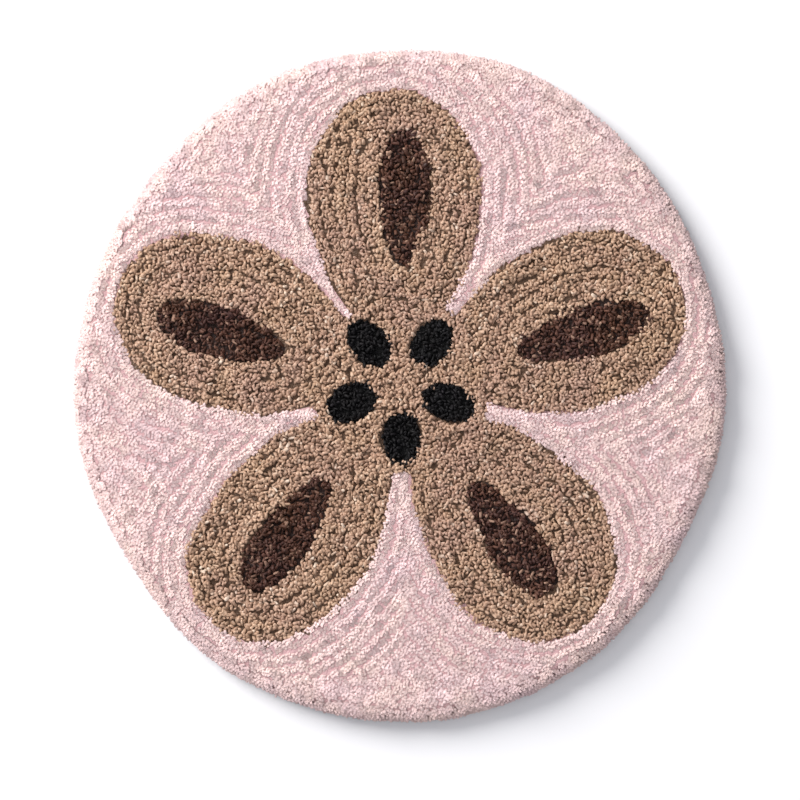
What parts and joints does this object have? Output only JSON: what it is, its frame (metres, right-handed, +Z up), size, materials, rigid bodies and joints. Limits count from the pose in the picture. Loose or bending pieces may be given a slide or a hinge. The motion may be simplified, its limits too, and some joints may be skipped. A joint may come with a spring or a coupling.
{
  "type": "round plush floor mat",
  "caption": "Round floor mat of tufted plush yarn with a soft rounded rim, lying flat, with an inlaid flower pattern in its pile.",
  "frame": {"origin": "middle of the mat's box, on the floor", "axes": "+Z up out of the floor, +Y to the top of the pattern, +X to its right"},
  "size_m": [0.4508, 0.4648, 0.022],
  "materials": {
    "pile_yarn": "soft matt two-ply acrylic yarn, cut pile, pink with brown and near-black inlay"
  },
  "bodies": {
    "root": {"mat": "pile_yarn"}
  },
  "joints": []
}
